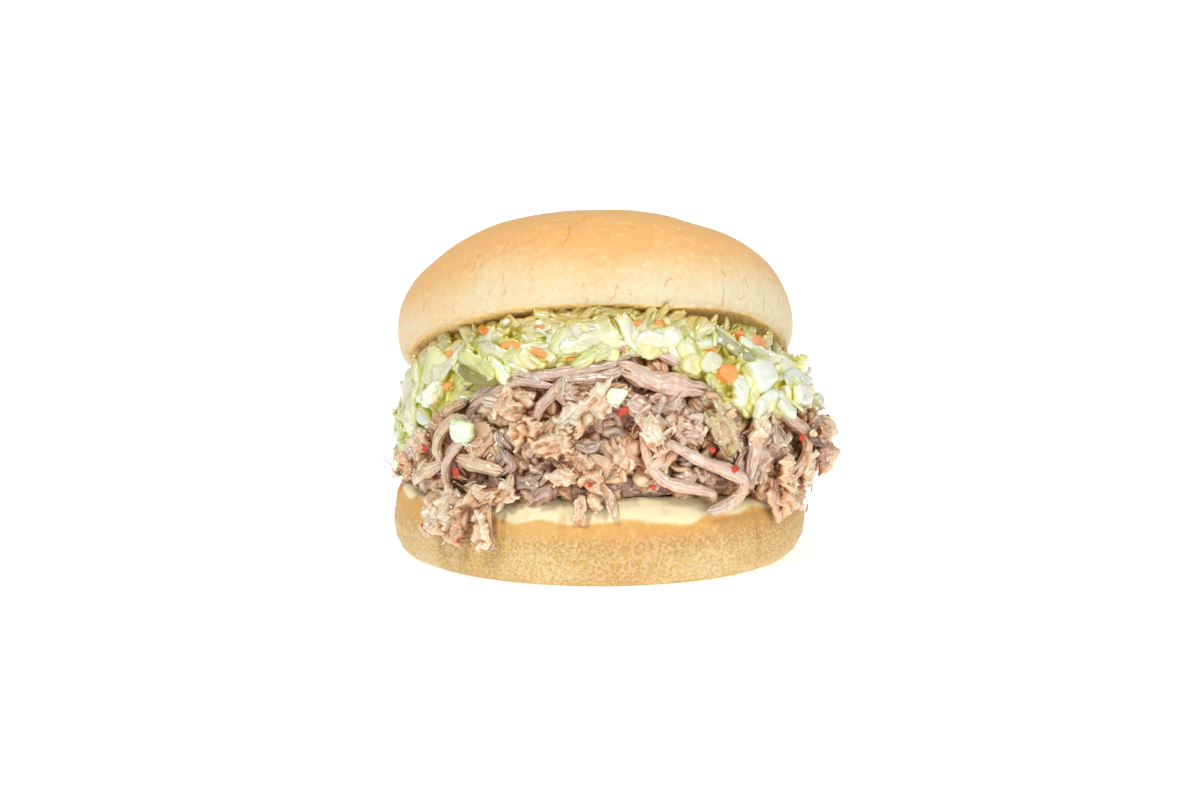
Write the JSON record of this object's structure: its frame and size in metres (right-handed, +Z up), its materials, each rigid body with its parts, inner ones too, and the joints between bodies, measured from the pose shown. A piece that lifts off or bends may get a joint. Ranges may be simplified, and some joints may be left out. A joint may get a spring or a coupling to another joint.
{
  "type": "pulled pork sandwich",
  "caption": "Round soft-bun sandwich filled with a heap of pulled pork strands and chunks under a layer of coleslaw, with the domed top bun leaning back.",
  "frame": {"origin": "the middle of the heel bun's flat bottom", "axes": "+Z up, -Y towards the front where the top bun is raised and the filling shows most, +X to the right seen from the front"},
  "size_m": [0.116, 0.1112, 0.0933],
  "materials": {
    "heel_bread": "soft golden bread crust, paler and more porous near the bottom, cream at the cut edge",
    "pork": "moist cooked pork, pink-beige with cream and grey-brown pieces and fine fibres",
    "slaw": "wet pale green-white cabbage with some orange carrot",
    "crown_bread": "soft satin bread crust, golden on the dome and fading to cream at the rim"
  },
  "bodies": {
    "root": {"heel_bun": "heel_bread", "pulled_pork": "pork", "coleslaw": "slaw", "crown_bun": "crown_bread"}
  },
  "joints": []
}
